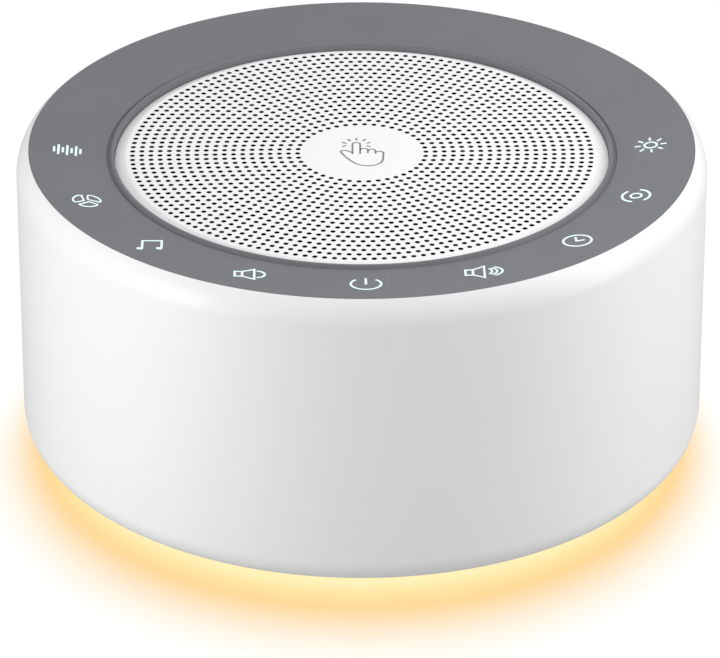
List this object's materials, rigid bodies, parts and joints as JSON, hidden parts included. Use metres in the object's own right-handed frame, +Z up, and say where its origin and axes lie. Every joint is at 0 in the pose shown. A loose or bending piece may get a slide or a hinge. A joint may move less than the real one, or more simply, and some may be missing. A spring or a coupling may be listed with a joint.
{
  "type": "white noise sound machine",
  "caption": "Round drum-shaped bedside sound machine: grey touch panel, drilled white grille over an upward loudspeaker, and a warm night light under its edge.",
  "frame": {"origin": "Middle of the surface that the feet stand on, on the drum's axis.", "axes": "+Z up along the drum's axis, -Y to the front where the power symbol is, +Y to the back where the supply socket is, +X to the right."},
  "size_m": [0.113, 0.113, 0.0538],
  "materials": {
    "white_shell": "fine satin moulded white",
    "grey_panel": "satin mid grey",
    "adhesive": "double-sided tape",
    "circuit_board": "green solder mask",
    "lamp": "small surface-mount lamp",
    "chip": "black moulded package",
    "white_grille": "satin moulded white",
    "dust_cloth": "black acoustic cloth",
    "foil": "copper foil on film",
    "inner_plastic": "unfinished moulded plastic",
    "screw_steel": "zinc plated steel",
    "foam": "closed-cell foam",
    "speaker_steel": "stamped steel",
    "magnet": "sintered ferrite",
    "cone_paper": "pressed paper pulp",
    "dust_cap": "pressed black cloth",
    "winding": "enamelled copper wire",
    "soft_rubber": "matt black rubber",
    "spider_cloth": "resin-dipped cloth",
    "fibre_board": "pressed fibre with tinned tags",
    "wire_sleeve": "red sleeved wire",
    "port_steel": "drawn steel shell",
    "can_aluminium": "aluminium can",
    "socket_plastic": "natural nylon",
    "ribbon": "flat white film cable",
    "white_board": "white solder mask",
    "milky_light": "milky diffusing plastic, lit from behind",
    "base_plastic": "fine textured white"
  },
  "bodies": {
    "machine": {"outer_housing": "white_shell", "touch_panel": "grey_panel", "panel_tape": "adhesive", "touch_board": "circuit_board", "icon_leds": "lamp", "touch_chip": "chip", "speaker_grille": "white_grille", "grille_cloth": "dust_cloth", "centre_touch_pad": "foil", "inner_frame": "inner_plastic", "frame_screws": "screw_steel", "speaker_gasket": "foam", "speaker_basket": "speaker_steel", "speaker_screws": "screw_steel", "speaker_top_plate": "speaker_steel", "speaker_magnet": "magnet", "speaker_yoke": "speaker_steel", "surround": "soft_rubber", "spider": "spider_cloth", "speaker_terminals": "fibre_board", "speaker_leads": "wire_sleeve", "main_board": "circuit_board", "board_screws": "screw_steel", "usb_c_port": "port_steel", "board_chips": "chip", "capacitors": "can_aluminium", "lead_sockets": "socket_plastic", "ribbon_socket": "socket_plastic", "touch_ribbon": "ribbon", "night_light_board": "white_board", "night_light_leds": "lamp", "night_light_leads": "wire_sleeve", "light_ring": "milky_light", "base_plate": "base_plastic", "base_screws": "screw_steel", "rubber_feet": "soft_rubber"},
    "cone_assembly": {"speaker_cone": "cone_paper", "dust_cap": "dust_cap", "voice_coil": "winding"}
  },
  "joints": [
    {"name": "cone_travel", "type": "slide", "parent": "machine", "child": "cone_assembly", "axis": [0, 0, 1], "range_m": [-0.0015, 0.0015], "stiffness_N_per_m": 1400, "deforming": ["surround", "spider"]}
  ]
}
